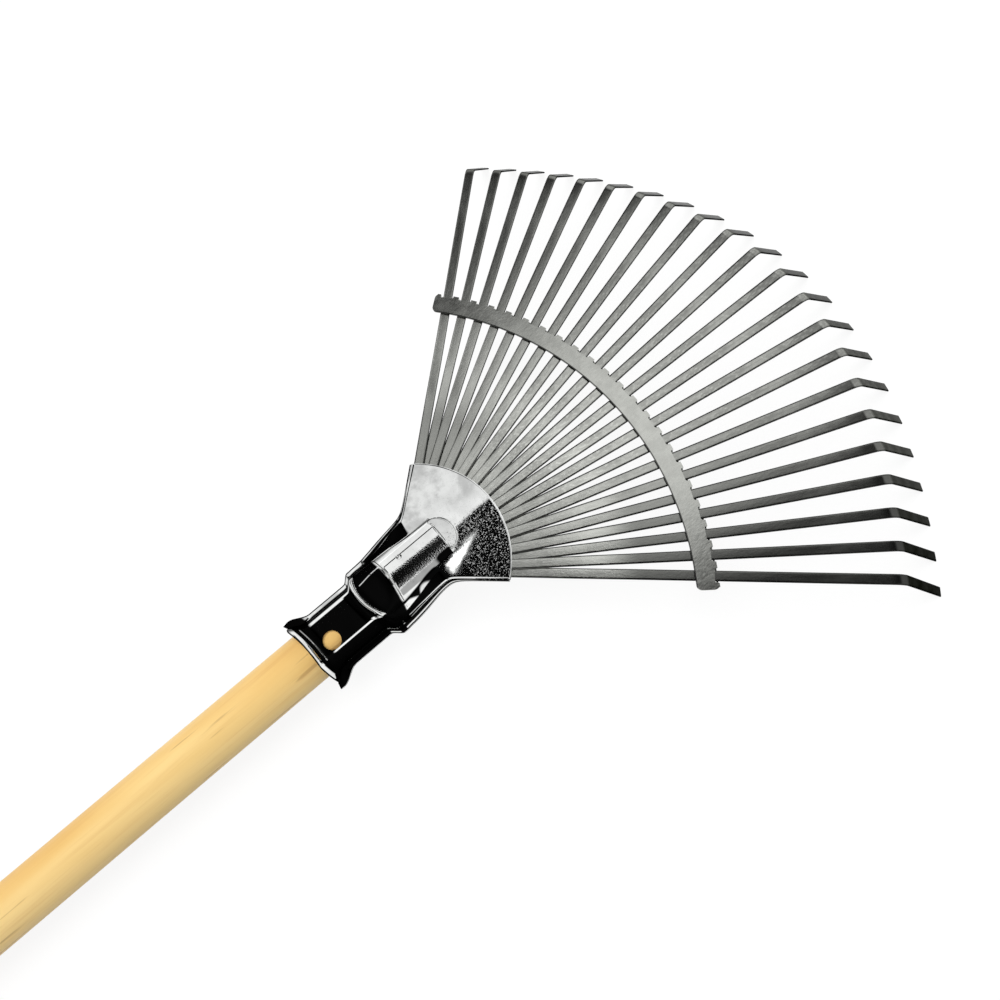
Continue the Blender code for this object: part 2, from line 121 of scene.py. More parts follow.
NAIL_HOLE_RADIUS = 0.0048
NAIL_HOLE_X = -0.0485
NAIL_HOLE_TURN = math.radians(18)
NAIL_HOLE_SIDES = 48
NAIL_CUT_DEPTH = 0.008

# Grid of a shell: how far each stretch of its sections reaches, with its number of steps, and
# the steps across a half section, where it is round and where it is flat
STRETCHES = (
    (SOCKET_BACK_X + 2 * HEM_RADIUS, 12),
    (SOCKET_BACK_X + END_FLARE_LENGTH, 8),
    (BEAD_X - 0.0025, 20),
    (NECK_BACK_X + 0.003, 34),
    (LIP_X, 14),
    (LIP_X + LIP_LENGTH, 5),
    (DIMPLES[0][0] - DIMPLE_RADIUS, 10),
    (DIMPLES[0][0] + DIMPLE_RADIUS, 10),
    (RIDGE_END_X - 0.0005, 30),
    (RIDGE_END_X + PAD_LENGTH + 0.001, 30),
    (MOUTH_X, 24),
)
FLANGE_STEPS = 8
ROUND_SIDE_SHARE = 0.28
ROUND_SIDE_SPACING = 1.1
ROUND_SIDE_STEPS = 38
ROUND_TOP_STEPS = 40
FLAT_SIDE_STEPS = 12
FLAT_PLATE_STEPS = 36
FLAT_RIDGE_STEPS = 30

# Halvings in the search for where two lines cross, and how near two points count as one
HALVINGS = 40
SAME_PLACE = 0.00001

# Tines
TINE_COUNT = 22
TINE_PITCH = math.radians(4.127)
OUTER_CLOSING = 0.026
TINE_WIDTH = 0.0052
TINE_THICKNESS = 0.0009
TINE_ROOT_RADIUS = 0.0402
FAN_HEIGHT = 0.0155
LAYER_OFFSET = 0.00065
LAYER_MERGE_START = 0.090
LAYER_MERGE_END = 0.120
BEND_RADIUS_MIDDLE = 0.2582
BEND_RADIUS_SIDE = 0.2422
TIP_REACH = 0.0316
TIP_DROP = 0.0355
TIP_BEND_RADIUS = 0.009
TIP_BEND_STEPS = 12
FAN_HALF_ANGLE = (TINE_COUNT - 1) / 2 * TINE_PITCH * (1 - OUTER_CLOSING)
PLATE_TOP_Z = FAN_HEIGHT + PLATEAU_RISE

# Softened edge of a tine's section: distance from its side, share of its half thickness, and how
# much painted shade darkens the edge there
STRIP_EDGE = ((0.0009, 1.0, 0.0), (0.0003, 0.97, 0.7), (0.0001, 0.72, 1.0), (0.0, 0.3, 1.0))

# Spreader bar
BAR_CENTRE_X = -0.0282
BAR_INNER_RADIUS = 0.1676
BAR_OUTER_RADIUS = 0.1786
BAR_THICKNESS = 0.0010
BAR_FLANGE_DROP = 0.0040
BAR_END_MARGIN = 0.0068
BAR_END_ROUNDING = 0.0028
BAR_END_TURN = 0.001
BAR_EDGE_RADIUS = 0.00022
BAR_EDGE_ANGLE = math.radians(55)
BAR_SMOOTH_ANGLE = math.radians(35)
FLANGE_END_MARGIN = 0.0056
BAR_BOTTOM_Z = FAN_HEIGHT + TINE_THICKNESS / 2 + 0.0004
SLOT_SIDE_GAP = 0.0010
SLOT_FLOOR_GAP = 0.0005
SLOT_NOTCH_DEPTH = 0.0018
SLOT_CORNER = 0.0009

# Camera, found from the photograph: place over the head and the view's three axes
CAMERA_PLACE = (0.0276, -0.1035, 0.3604)
CAMERA_RIGHT = (0.76115, -0.63972, -0.1068)
CAMERA_DOWN = (-0.64169, -0.71885, -0.26739)
CAMERA_AHEAD = (0.09428, 0.27206, -0.95765)
CAMERA_LENS = 25.2
CAMERA_SENSOR = 36.0
CAMERA_NEAREST = 0.01
CAMERA_FARTHEST = 60.0

# Floor, and the wide lamp above it, with the direction that its light comes from
FLOOR_Z = -0.0207
FLOOR_REACH = 12.0
FLOOR_GREY = 0.16
FLOOR_GLOW = 0.87
SUN_STRENGTH = 1.75
SUN_WIDTH = math.radians(50)
SUN_DIRECTION = (-0.12, 0.35, 0.93)

# Sky by direction: its darkest level, the glow below the horizon, and bright panels, each with
# its strength, range of x, range of y, softness along x and y, and the height of its top
SKY_LEVEL = 0.003
HORIZON_GLOW = 0.50
HORIZON_HEIGHT = 0.10
PANEL_TOP_SOFTNESS = 0.06
NO_TOP = 2.0
SKY_PANELS = (
    (0.95, (-0.108, 0.11), (0.284, 0.79), 0.010, 0.0012, NO_TOP),
    (1.00, (-0.108, 0.11), (0.84, 1.2), 0.010, 0.008, NO_TOP),
    (0.42, (-0.108, 0.12), (-1.2, -0.74), 0.010, 0.06, NO_TOP),
    (1.10, (-0.45, -0.108), (0.77, 1.2), 0.010, 0.02, 0.64),
    (1.10, (-0.45, -0.108), (-1.2, -0.80), 0.010, 0.04, NO_TOP),
    (0.90, (-1.2, -0.50), (-0.80, 0.85), 0.05, 0.08, 0.88),
    (0.90, (0.66, 1.2), (-1.2, 1.2), 0.06, 0.06, NO_TOP),
    (0.80, (0.12, 0.66), (0.80, 1.2), 0.05, 0.05, NO_TOP),
    (0.80, (0.12, 0.66), (-1.2, -0.50), 0.05, 0.05, NO_TOP),
)

# Soft oval glow that the tines mirror: its middle, its reach, its strength there and outside
GLOW_X = 0.24
GLOW_Y = 0.165
GLOW_REACH_X = 0.50
GLOW_REACH_LEFT = 0.355
GLOW_REACH_RIGHT = 0.18
GLOW_STRENGTH = 1.10
GLOW_OUTSIDE = 0.055
GLOW_START_X = (0.100, 0.125)

# Narrow wedge of light that the plate mirrors
WEDGE_X = (-0.024, 0.046)
WEDGE_Y = 0.2515
WEDGE_SLOPE = 0.25
WEDGE_SPREAD = 0.125
WEDGE_SOFTNESS = 0.002
WEDGE_STRENGTH = 1.6

# Colours
WOOD_TAN = (0.86, 0.525, 0.155)
WOOD_PALE = (0.99, 0.71, 0.29)
WOOD_GRAIN = (0.74, 0.40, 0.115)
WOOD_FINE_GRAIN = (0.80, 0.49, 0.16)
WOOD_FLECK = (0.50, 0.27, 0.08)
FRONT_PLATING = (0.89, 0.90, 0.89)
# Near black painted onto the plating as shade and dark reflections
FRONT_SHADE_BLACK = (0.004, 0.004, 0.004)
# The back shell's plating: a darker copy of the front's, with near black as painted shade
BACK_SHADED_PLATING = (0.72, 0.73, 0.72)
BACK_SHADE_BLACK = (0.02, 0.02, 0.02)
PLATING_TINT = 0.15
ZINC = (1.0, 1.015, 0.955)
# Near black painted along the zinc's edges as shade
ZINC_EDGE_SHADE = (0.018, 0.018, 0.017)

# Painted shade on the front shell: near black standing in for its dark reflections and the shade
# in its creases. A pair gives where it starts and where it is full, or, for an end, where it is
# still full and where it is gone. The last ones count from the socket's end
SHADE_NECK_X = (LIP_X - 0.012, LIP_X - 0.006)
SHADE_WALL_END_X = (0.0125, 0.0160)
SHADE_GAP_LEFT = 0.0002
SHADE_GAP_RIGHT = 0.0026
SHADE_FADE = 0.0006
SHADE_BEFORE_RIM = (0.0006, 0.0010)
SHADE_SOCKET_SHARE = (0.67, 0.69)
SHADE_AFTER_BEAD = (0.0, 0.0005)
SHADE_BEFORE_LIP = (0.0005, 0.0014)
SHADE_BEFORE_BEAD = (-0.0002, 0.0003)
SHADE_SHOULDER_START = (-0.0025, -0.0020)
SHADE_SHOULDER_SHARE = (0.57, 0.59)
SHADE_FOOT_X = (0.015, 0.021)
SHADE_FOOT_Y = (0.0070, 0.0095)
SHADE_FOOT_FADE = 0.0005
# A painted shade line along the ridge's right crease, and a painted highlight line left bright in
# the neck's painted shade
CREASE_LINE_WIDTH = 0.0004
NECK_GLINT = 0.95
NECK_GLINT_Y = 0.0066
NECK_GLINT_WIDTH = 0.0005
SHADE_END_FACE = (0.0005, 0.0009)
SHADE_SOCKET_START = (0.0018, 0.0024)
SHADE_COLLAR_START = (0.0021, 0.0024)
SHADE_COLLAR_END = (0.0068, 0.0090)
# A painted highlight line left bright in the collar's painted shade
COLLAR_GLINT_X = 0.0038
COLLAR_GLINT_WIDTH = 0.0003

# Painted shade on the flanges, as shares of their width and of their flare, and on the back shell
GROOVE_END = (0.50, 0.62)
LEFT_GROOVE_X = (LIP_X - 0.004, LIP_X)
RIM_SHADE = (0.82, 0.90)
FLARE_SHADE = (0.3, 0.5)
BACK_SHELL_SHADE = 0.25

# Borders across the head of its gritty band, its worn half and its haze, and the softness of
# their borders along it
BORDER_SOFTNESS = 0.001
GRIT_LEFT_BORDER = (-0.0010, 0.0002)
GRIT_RIGHT_BORDER = (-0.0092, -0.0080)
WORN_LEFT_BORDER = (-0.002, 0.0)
HAZE_RIGHT_BORDER = (0.003, 0.010)
HAZE_BESIDE_RIDGE = (0.0106, 0.0112)

# Zinc of the tines: greys at stops along them, in the fan's middle and at its sides, which are
# painted light and shade; how dark its patches are, how much it glitters, and how bright it is
# when seen edge on
GREY_STOPS = (0.082, 0.098, 0.122, 0.160, 0.235, 0.2405)
MIDDLE_SHADED_GREYS = (0.66, 0.76, 0.62, 0.50, 0.50, 0.42)
LEFT_SHADED_GREYS = (0.44, 0.64, 0.78, 0.52, 0.52, 0.40)
RIGHT_SHADED_GREYS = (0.95, 0.95, 0.27, 0.27, 0.27, 0.075)
MIDDLE_SHADE = 0.62
OUTER_SHADE = 0.84
MIDDLE_SPANGLE = 0.6
OUTER_SPANGLE = 0.1
MIDDLE_TINT = 0.20
LEFT_TINT = 0.14
RIGHT_TINT = 0.30
TIP_SMOOTHING = (0.228, 0.240)

# Where these change from the fan's middle, 0, to its sides, 1
OUTER_GREY_START = (0.25, 0.95)
OUTER_SPANGLE_START = (0.2, 0.7)

# Zinc of the bar
BAR_GREY = 0.54
BAR_SHADE = 0.84
BAR_SPANGLE = 0.12
BAR_ROUGHNESS = 0.13
# Inner band of the bar painted near black as a shade line along its edge
BAR_RIM = BAR_INNER_RADIUS + 0.0004
BAR_RIM_SOFTNESS = 0.0002


def smooth_step(value, start, end):
    t = min(max((value - start) / (end - start), 0.0), 1.0)
    return t * t * (3 - 2 * t)


def mix(a, b, t):
    return a + (b - a) * t


def soft_max(a, b, softness):
    return (a + b + math.hypot(a - b, softness)) / 2


def spread(start, end, count):
    """Count evenly spaced values after start, up to and with end."""
    return [mix(start, end, i / count) for i in range(1, count + 1)]


# Nodes and materials


class Nodes:
    """Adds and links nodes of one tree."""

    def __init__(self, tree):
        self.tree = tree

    def add(self, kind):
        return self.tree.nodes.new("ShaderNode" + kind)

    def fill(self, socket, value):
        """Gives a socket another one's output, or a number, vector or colour."""
        if isinstance(value, bpy.types.NodeSocket):
            self.tree.links.new(value, socket)
        elif isinstance(value, tuple) and socket.type == "RGBA":
            socket.default_value = (*value, 1.0)
        else:
            socket.default_value = value

    def put(self, node, **values):
        for name, value in values.items():
            self.fill(node.inputs[name.replace("_", " ")], value)

    def mark(self, name):
        """The value that a mesh's points carry under a name."""
        node = self.add("Attribute")
        node.attribute_name = name
        return node.outputs["Fac"]

    def split(self, vector):
        node = self.add("SeparateXYZ")
        self.put(node, Vector=vector)
        return node.outputs

    def math(self, operation, a, b=0.0, clamp=False):
        node = self.add("Math")
        node.operation = operation
        node.use_clamp = clamp
        self.fill(node.inputs[0], a)
        self.fill(node.inputs[1], b)
        return node.outputs[0]

    def times(self, a, b):
        return self.math("MULTIPLY", a, b)

    def plus(self, a, b):
        return self.math("ADD", a, b)

    def minus(self, a, b):
        return self.math("SUBTRACT", a, b)

    def step(self, value, low, high, to_low=0.0, to_high=1.0):
        """A smooth step of a value from low to high."""
        node = self.add("MapRange")
        node.interpolation_type = "SMOOTHSTEP"
        self.put(node, Value=value, From_Min=low, From_Max=high, To_Min=to_low, To_Max=to_high)
        return node.outputs[0]

    def between(self, value, low, high, soft):
        """1 between low and high, with soft borders."""
        return self.times(self.step(value, low - soft, low + soft),
                          self.step(value, high - soft, high + soft, 1.0, 0.0))

    def blend(self, factor, a, b, how="MIX"):
        """A mix of two colours."""
        node = self.add("Mix")
        node.data_type = "RGBA"
        node.blend_type = how
        node.clamp_result = False
        self.fill(node.inputs[0], factor)
        self.fill(node.inputs[6], a)
        self.fill(node.inputs[7], b)
        return node.outputs[2]

    def noise(self, place, scale, stretch, detail, roughness, offset=(0, 0, 0)):
        mapping = self.add("Mapping")
        self.put(mapping, Vector=place, Scale=stretch, Location=offset)
        node = self.add("TexNoise")
        self.put(node, Vector=mapping.outputs[0], Scale=scale, Detail=detail, Roughness=roughness)
        return node.outputs["Fac"]

    def bump(self, height, strength, distance):
        node = self.add("Bump")
        self.put(node, Height=height, Strength=strength, Distance=distance)
        return node.outputs[0]


def new_material(name):
    material = bpy.data.materials.new(name)
    material.use_nodes = True
    nodes = Nodes(material.node_tree)
    shader = material.node_tree.nodes["Principled BSDF"]
    return material, nodes, shader, nodes.add("TexCoord").outputs["Object"]


def dim(colour, share):
    return tuple(share * c for c in colour)


def grey(level):
    return (level, level, level)


def wood_material():
    """Varnished pale wood with fine grain and short darker flecks along the handle."""
    material, n, shader, place = new_material("varnished_wood")
    broad = n.noise(place, 9.0, (0.35, 2.2, 2.2), 3.0, 0.55)
    grain = n.noise(place, 130.0, (0.030, 1, 1), 5.0, 0.6)
    fine = n.noise(place, 700.0, (0.045, 1, 1), 3.0, 0.6, (2, 5, 1))
    fleck = n.noise(place, 300.0, (0.060, 1, 1), 2.0, 0.45, (4, 1, 7))
    colour = n.blend(n.step(broad, 0.40, 0.62), WOOD_TAN, WOOD_PALE)
    colour = n.blend(n.step(grain, 0.50, 0.72, 0.0, 0.50), colour, WOOD_GRAIN)
    colour = n.blend(n.step(fine, 0.50, 0.75, 0.0, 0.25), colour, WOOD_FINE_GRAIN)
    colour = n.blend(n.step(fleck, 0.66, 0.72, 0.0, 0.55), colour, WOOD_FLECK)
    height = n.plus(n.times(grain, 0.7), n.times(fine, 0.3))
    n.put(shader, Base_Color=colour, Roughness=n.step(grain, 0.3, 0.8, 0.42, 0.58),
          Coat_Weight=0.06, Coat_Roughness=0.25, Normal=n.bump(height, 0.25, 0.0002))
    return material


def chrome_material(name, bright, dark):
    """Bright plated steel: faint mottling, fine pits, and near black where a mark paints in shade
    and dark reflections.

    A band of the ridge is gritty, the plate's right half is worn and its left half is hazy.
    """
    material, n, shader, place = new_material(name)
    painted_shade = n.mark("painted_shade")
    x, y, _ = n.split(place)
    cloud = n.noise(place, 95.0, (1, 1, 1), 4.0, 0.6)
    pits = n.noise(place, 1250.0, (1, 1, 1), 2.0, 0.6, (3, 1, 2))
    haze = n.noise(place, 75.0, (1, 1, 1), 4.0, 0.62, (1, 3, 5))
    grit = n.noise(place, 1500.0, (1, 1, 1), 1.0, 0.5, (5, 4, 3))
    ridge_start, ridge_end = HEAD_X + LIP_X, HEAD_X + RIDGE_END_X
    on_plate = n.step(x, ridge_end, ridge_end + BORDER_SOFTNESS)
    on_ridge = n.times(n.step(x, ridge_start, ridge_start + BORDER_SOFTNESS),
                       n.minus(1.0, on_plate))
    band = n.times(n.step(y, *GRIT_LEFT_BORDER, 1.0, 0.0), n.step(y, *GRIT_RIGHT_BORDER))
    gritty = n.times(on_ridge, band)
    worn = n.times(on_plate, n.step(y, *WORN_LEFT_BORDER, 1.0, 0.0))
    worn = n.times(worn, n.minus(1.0, n.mark("polish")))
    hazy = n.math("MAXIMUM", on_plate, n.step(y, *HAZE_BESIDE_RIDGE))
    hazy = n.times(hazy, n.step(y, *HAZE_RIGHT_BORDER))
    hazy = n.times(n.step(haze, 0.40, 0.62, 0.15, 0.75), hazy)
    speck = n.times(n.step(pits, 0.60, 0.72), n.math("SUBTRACT", 0.35, worn, True))
    dull = n.times(n.step(pits, 0.56, 0.61), worn)
    colour = n.blend(n.step(cloud, 0.38, 0.66, 0.0, 0.6), bright, dim(bright, 0.78))
    colour = n.blend(hazy, colour, dim(bright, 0.50))
    colour = n.blend(speck, colour, dim(bright, 0.45))
    # Painted shade and painted dark reflections: near black where the mark is, and matte as it
    # grows
    colour = n.blend(n.step(painted_shade, 0.0, 0.5), colour, dark)
    rough = n.plus(n.step(cloud, 0.3, 0.75, 0.015, 0.045), n.step(painted_shade, 0.4, 1.0, 0.0, 0.4))
    rough = n.plus(rough, n.times(gritty, 0.08))
    rough = n.plus(rough, n.times(dull, 0.42))
    height = n.plus(n.times(cloud, 0.12), n.times(n.times(grit, gritty), 4.5))
    n.put(shader, Base_Color=colour, Metallic=1.0, Roughness=rough,
          Specular_Tint=grey(PLATING_TINT), Normal=n.bump(height, 0.10, 0.0006))
    return material


def galvanised_material(name, greys, shade, spangle, drawn=0.22, rough=0.17, rim=0.0, tint=1.0):
    """Zinc-plated strip: mottled patches drawn out along it, and painted shade in near-black edges
    and a near-black inner rim.

    It has greys at GREY_STOPS along it, which on the tines are painted light and shade, and tint
    dims it where it is seen edge on.
    """
    material, n, shader, place = new_material(name)
    x, y, _ = n.split(place)
    patches = n.noise(place, 120.0, (drawn, 1, 1), 4.0, 0.66)
    fine = n.noise(place, 900.0, (0.5, 1, 1), 2.0, 0.6, (1, 4, 2))
    lines = n.noise(place, 1500.0, (0.012, 1, 1), 2.0, 0.5, (6, 2, 3))
    dark = dim(ZINC, shade)
    base = n.blend(n.step(patches, 0.40, 0.62), dark, ZINC)
    base = n.blend(n.times(n.step(fine, 0.45, 0.75), spangle), base, dim(ZINC, 1.35))
    base = n.blend(n.step(lines, 0.52, 0.70, 0.0, 0.45), base, dark)
    # Greys along the strip; on the tines they are painted light and shade
    level = grey(greys[0])
    for i in range(1, len(greys)):
        level = n.blend(n.step(x, GREY_STOPS[i - 1], GREY_STOPS[i]), level, grey(greys[i]))
    base = n.blend(1.0, base, level, "MULTIPLY")
    radius = n.math("SQRT", n.plus(n.times(x, x), n.times(y, y)))
    # Painted shade: near-black lines along the rounded edges and inside the rim radius
    shaded_rim = n.step(radius, rim, rim + BAR_RIM_SOFTNESS, 1.0, 0.0)
    border = n.math("MAXIMUM", n.mark("edge"), shaded_rim)
    base = n.blend(n.times(border, 0.85), base, ZINC_EDGE_SHADE)
    height = n.plus(n.times(patches, 0.5), n.times(fine, 0.3))
    height = n.times(height, n.step(x, *TIP_SMOOTHING, 1.0, 0.2))
    n.put(shader, Base_Color=base, Metallic=1.0, Specular_Tint=grey(tint),
          Roughness=n.step(patches, 0.3, 0.75, rough, 1.5 * rough),
          Normal=n.bump(height, 0.16, 0.0004))
    return material


def tine_material(index):
    """Zinc of one tine: mottled in the fan's middle and smoother towards its sides, with painted
    light and shade along it that is darker towards the sides.
    """
    side = (2 * index + 1 - TINE_COUNT) / (TINE_COUNT - 1)
    share = smooth_step(abs(side), *OUTER_GREY_START)
    outer_greys, outer_tint = (LEFT_SHADED_GREYS, LEFT_TINT) if side > 0 else (RIGHT_SHADED_GREYS, RIGHT_TINT)
    shade = mix(MIDDLE_SHADE, OUTER_SHADE, share)
    evened = (1 + MIDDLE_SHADE) / (1 + shade)
    greys = [mix(a, b, share) * evened for a, b in zip(MIDDLE_SHADED_GREYS, outer_greys)]
    spangle_share = smooth_step(abs(side), *OUTER_SPANGLE_START)
    spangle = mix(MIDDLE_SPANGLE, OUTER_SPANGLE, spangle_share)
    return galvanised_material(f"zinc_{index + 1:02d}", greys, shade, spangle,
                               tint=mix(MIDDLE_TINT, outer_tint, share))


# Meshes


def add_piece(name, mesh, material, body, node, smooth_degrees, place=None):
    """A visible piece in place of a node, smooth where its faces meet at less than an angle."""
    mesh.materials.append(material)
    mesh.shade_smooth()
    mesh.set_sharp_from_angle(angle=math.radians(smooth_degrees))
    obj = bpy.data.objects.new(name, mesh)
    bpy.context.scene.collection.objects.link(obj)
    if place is not None:
        obj.matrix_world = place
    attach(obj, body)
    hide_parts(node)
    return obj


def mark_points(mesh, name, values):
    attribute = mesh.attributes.new(name, "FLOAT", "POINT")
    attribute.data.foreach_set("value", values)


def grid_mesh(name, rows, marks, closed, close_ends):
    """A mesh through rows of points; closed joins each row's end to its start."""
    count = len(rows[0])
    verts = [p for row in rows for p in row]
    faces = []
    for r in range(len(rows) - 1):
        for i in range(count if closed else count - 1):
            j = (i + 1) % count
            faces.append((r * count + i, r * count + j, (r + 1) * count + j, (r + 1) * count + i))
    if close_ends:
        faces.append(tuple(range(count))[::-1])
        faces.append(tuple(range(len(verts) - count, len(verts))))
    mesh = bpy.data.meshes.new(name)
    mesh.from_pydata(verts, [], faces)
    for mark, values in marks.items():
        mark_points(mesh, mark, [v for row in values for v in row])
    return mesh


def make_handle(material):
    """The turned handle, with a rounded butt edge and a tapered tip."""
    profile = [(0.0, HANDLE_RADIUS - HANDLE_EDGE_RADIUS)]
    for turned in spread(0.0, math.pi / 2, HANDLE_EDGE_STEPS):
        profile.append((HANDLE_EDGE_RADIUS * (1 - math.cos(turned)),
                        HANDLE_RADIUS - HANDLE_EDGE_RADIUS * (1 - math.sin(turned))))
    profile += [(x, HANDLE_RADIUS) for x in spread(HANDLE_EDGE_RADIUS,
                                                  HANDLE_LENGTH - HANDLE_TIP_TAPER, 40)]
    profile.append((HANDLE_LENGTH, HANDLE_TIP_RADIUS))
    turns = [2 * math.pi * i / HANDLE_SIDES for i in range(HANDLE_SIDES)]
    rows = [[(x, r * math.cos(t), r * math.sin(t)) for t in turns] for x, r in profile]
    mesh = grid_mesh("wood_handle", rows, {}, True, True)
    add_piece("wood_handle", mesh, material, "head", "handle", smooth_degrees=50)


# The head's two pressed shells, as functions of the station x and the distance y from the middle


def seam_height(x):
    return FAN_HEIGHT * smooth_step(x, NECK_BACK_X, NECK_BACK_X + SEAM_RISE_LENGTH)


def end_flare(x):
    return 1 - smooth_step(x, SOCKET_BACK_X, SOCKET_BACK_X + END_FLARE_LENGTH)


def rim_flare(x):
    """The same for the flanges, which fan out over a longer way."""
    return 1 - smooth_step(x, SOCKET_BACK_X + END_RIM_PLATEAU, SOCKET_BACK_X + END_RIM_LENGTH)


def tube_radius(x):
    grow = smooth_step(x, SHOULDER_START_X, NECK_BACK_X)
    return mix(SOCKET_RADIUS, NECK_RADIUS, grow) + END_FLARE_RISE * end_flare(x)


def hem(x):
    """The rolled hem at the socket's end."""
    offset = (x - SOCKET_BACK_X - HEM_RADIUS) / HEM_RADIUS
    return HEM_RADIUS * HEM_FLATNESS * math.sqrt(max(1 - offset * offset, 0.0))


def tube_flange_width(x):
    grow = smooth_step(x, SHOULDER_START_X, NECK_BACK_X)
    widening = END_RIM_RISE * rim_flare(x) - END_FLARE_RISE * end_flare(x)
    return mix(SOCKET_FLANGE, NECK_FLANGE, grow) + widening


def pocket_edge(x):
    side = (TINE_WIDTH / 2 + POCKET_MARGIN + WALL) / math.cos(FAN_HALF_ANGLE)
    return x * math.tan(FAN_HALF_ANGLE) + side


def plate_half_width(x):
    waist = mix(NECK_RADIUS, WAIST_HALF_WIDTH, smooth_step(x, LIP_X, WAIST_END_X))
    return soft_max(waist, pocket_edge(x), WAIST_SOFTNESS)


def plate_rim(x):
    waist = mix(NECK_RADIUS + NECK_FLANGE, WAIST_HALF_WIDTH + WAIST_FLANGE,
                smooth_step(x, LIP_X, WAIST_END_X))
    pocket_rim = pocket_edge(x) + PLATE_FLANGE / math.cos(FAN_HALF_ANGLE)
    return soft_max(waist, pocket_rim, WAIST_RIM_SOFTNESS)


def plate_share(x):
    """How far the front's section has turned from a round arch into a flat plate."""
    return smooth_step(x, *FLAT_FRONT_X)


def back_bottom(x):
    plate = FAN_HEIGHT - PLATEAU_RISE
    return mix(-tube_radius(x), plate, smooth_step(x, *FLAT_BACK_X))


def station_bow(x, y):
    """How far a section's point lies back from its station: the sections are bowed."""
    end = (1 - smooth_step(x, *END_BOW_X)) / END_BOW_RADIUS
    lip = smooth_step(x, NECK_BACK_X, LIP_X) / LIP_BOW_RADIUS
    lip *= 1 - smooth_step(x, LIP_X + LIP_LENGTH, WAIST_END_X)
    mouth = MOUTH_RADIUS - math.sqrt(max(MOUTH_RADIUS ** 2 - y * y, 0.0))
    return (end + lip) * y * y / 2 + mouth * smooth_step(x, WAIST_END_X, MOUTH_X)


def where_station_meets(outline, x):
    near = 0.0
    far = MOUTH_RADIUS
    for _ in range(HALVINGS):
        middle = (near + far) / 2
        if middle < outline(x - station_bow(x, middle)):
            near = middle
        else:
            far = middle
    return near


# Outline of the socket's section, as shares of its half width and height: a gently round top
# between two tight shoulders, with sloping sides
SOCKET_SECTION = (
    (0.0, 1.0), (0.10, 0.998), (0.20, 0.992), (0.30, 0.981), (0.40, 0.965), (0.50, 0.943),
    (0.58, 0.918), (0.63, 0.892), (0.66, 0.862), (0.69, 0.818), (0.73, 0.748), (0.78, 0.655),
    (0.84, 0.53), (0.90, 0.375), (0.95, 0.215), (0.985, 0.075), (1.0, 0.0),
)


def socket_height(share):
    """Height share of the socket's section at a share of its half width."""
    points = SOCKET_SECTION
    if share >= 1.0:
        return 0.0
    i = max(k for k in range(len(points) - 1) if points[k][0] <= share)
    before = points[max(i - 1, 0)] if i else (-points[1][0], points[1][1])
    a = points[i]
    b = points[i + 1]
    after = points[min(i + 2, len(points) - 1)]
    span = b[0] - a[0]
    slope_a = (b[1] - before[1]) / (b[0] - before[0]) * span
    slope_b = (after[1] - a[1]) / max(after[0] - a[0], 1e-6) * span
    t = (share - a[0]) / span
    t2 = t * t
    t3 = t2 * t
    return ((2 * t3 - 3 * t2 + 1) * a[1] + (t3 - 2 * t2 + t) * slope_a
            + (3 * t2 - 2 * t3) * b[1] + (t3 - t2) * slope_b)


SIDE_ROUNDING = (PLATEAU_RISE - SEAM_RISE) / math.cos(FAN_HALF_ANGLE)


def body_rise(y, half_width, top, share):
    arch = top * math.sqrt(max(1 - (y / half_width) ** 2, 0.0))
    inside = min((half_width - y) / SIDE_ROUNDING, 1.0)
    plate = mix(SEAM_RISE, top, math.sqrt(max(1 - (1 - inside) ** 2, 0.0)))
    return max(mix(arch, plate, share), SEAM_RISE)


def ridge_height(x, y):
    """Height of the ridge's round top and of its end."""
    top = RIDGE_TOP_Z - RIDGE_RADIUS + math.sqrt(max(RIDGE_RADIUS ** 2 - y * y, 0.0))
    fall = smooth_step(x, RIDGE_END_X, RIDGE_END_X + RIDGE_FALL_LENGTH)
    return mix(top, PLATE_TOP_Z - RIDGE_END_DEPTH, fall)


def pad_height(x, y):
    """Height of the blank oval pad that slopes from the ridge's end to the plate."""
    if x < RIDGE_END_X - PAD_OVERLAP:
        return 0.0
    reach = math.sqrt(max(1 - (y / PAD_HALF_WIDTH) ** 2, 0.0))
    along = (x - RIDGE_END_X) / PAD_LENGTH
    plane = mix(PAD_START_Z, PAD_END_Z, min(max(along, 0.0), 1.0))
    to_side = (PAD_HALF_WIDTH - abs(y)) * PAD_SIDE_STEEPNESS
    edge = min((reach - along) * PAD_LENGTH, to_side) / PAD_EDGE
    return mix(PLATE_TOP_Z - PAD_DEPTH, plane, smooth_step(edge, *PAD_EDGE_RANGE))


def bead(x, y):
    """The crescent rib over the shoulder."""
    middle = BEAD_X + y * y / (2 * BEAD_BOW_RADIUS)
    offset = abs(x - middle) / BEAD_HALF_LENGTH
    fade = math.sqrt(max(1 - (y / BEAD_HALF_WIDTH) ** 4, 0.0))
    return BEAD_RISE * fade * math.sqrt(max(1 - offset * offset, 0.0))


def ridge_crease(x, half_width, share):
    """Distance from the middle at which the ridge meets the rest of the front at station x."""
    near = 0.0
    far = RIDGE_RADIUS
    for _ in range(HALVINGS):
        middle = (near + far) / 2
        seam = seam_height(x - station_bow(x, middle))
        rise = body_rise(middle, half_width, PLATE_TOP_Z - seam, share)
        if ridge_height(x, middle) > seam + rise:
            near = middle
        else:
            far = middle
    return near


